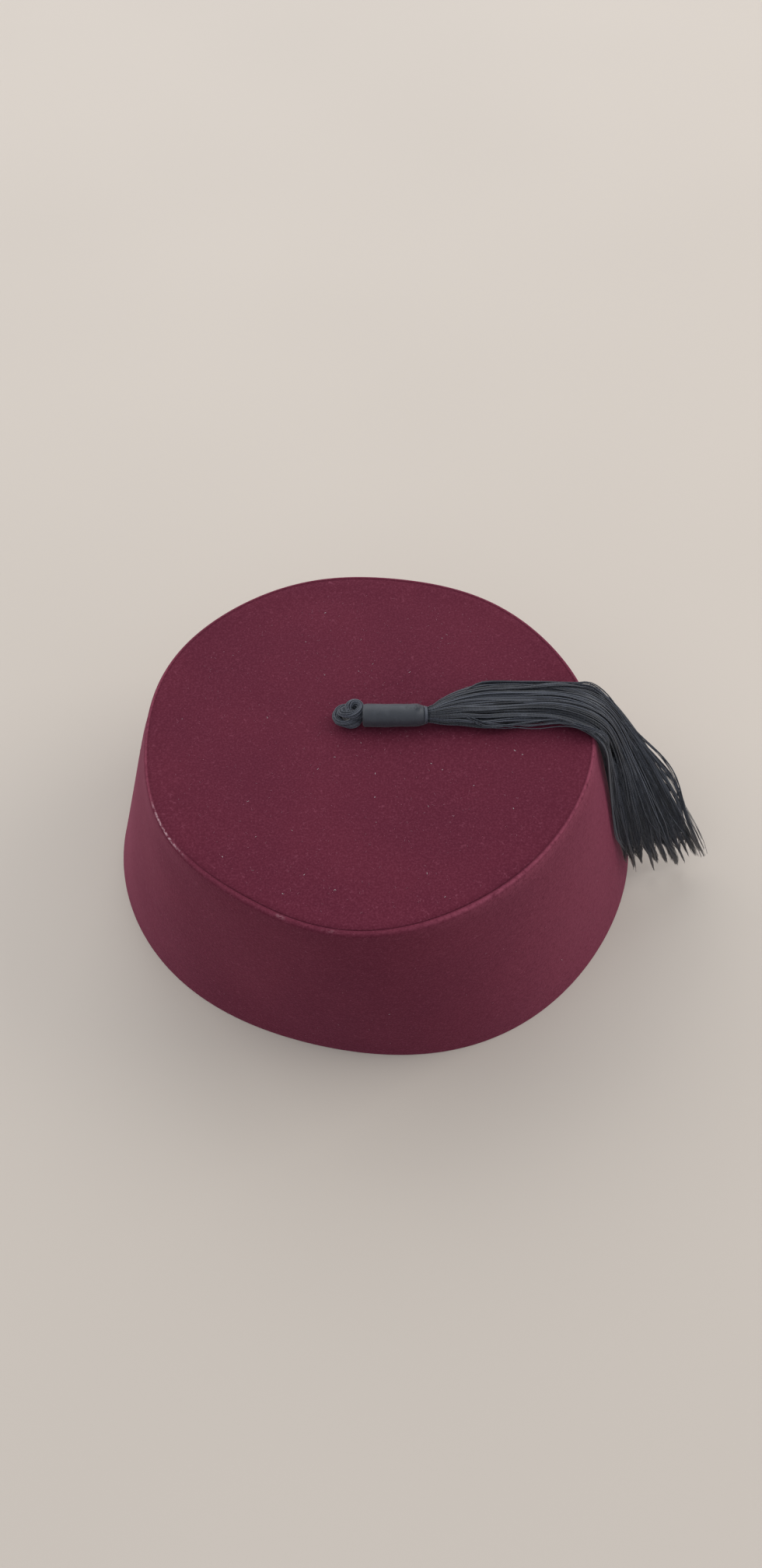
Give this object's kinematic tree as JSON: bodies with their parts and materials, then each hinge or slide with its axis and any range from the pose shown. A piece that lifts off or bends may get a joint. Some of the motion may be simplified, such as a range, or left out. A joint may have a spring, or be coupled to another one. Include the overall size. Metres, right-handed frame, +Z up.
{
  "type": "fez hat",
  "caption": "Low oval felt fez with a tapered wall and a flat crown, and a tassel that lies on the crown and hangs over the rim.",
  "frame": {"origin": "bottom centre of the box round the whole hat and its tassel, on the surface that the rim stands on", "axes": "+Z up, +X the side on which the tassel hangs, +Y the back"},
  "size_m": [0.2126, 0.1662, 0.0794],
  "materials": {
    "maroon_felt": "dense wool felt with a short soft nap",
    "black_silk": "fine silky thread with a soft lengthwise shine"
  },
  "bodies": {
    "root": {"felt_cap": "maroon_felt", "tassel_knot": "black_silk", "tassel_sleeve": "black_silk", "tassel_binding": "black_silk", "tassel_skirt": "black_silk"}
  },
  "joints": []
}
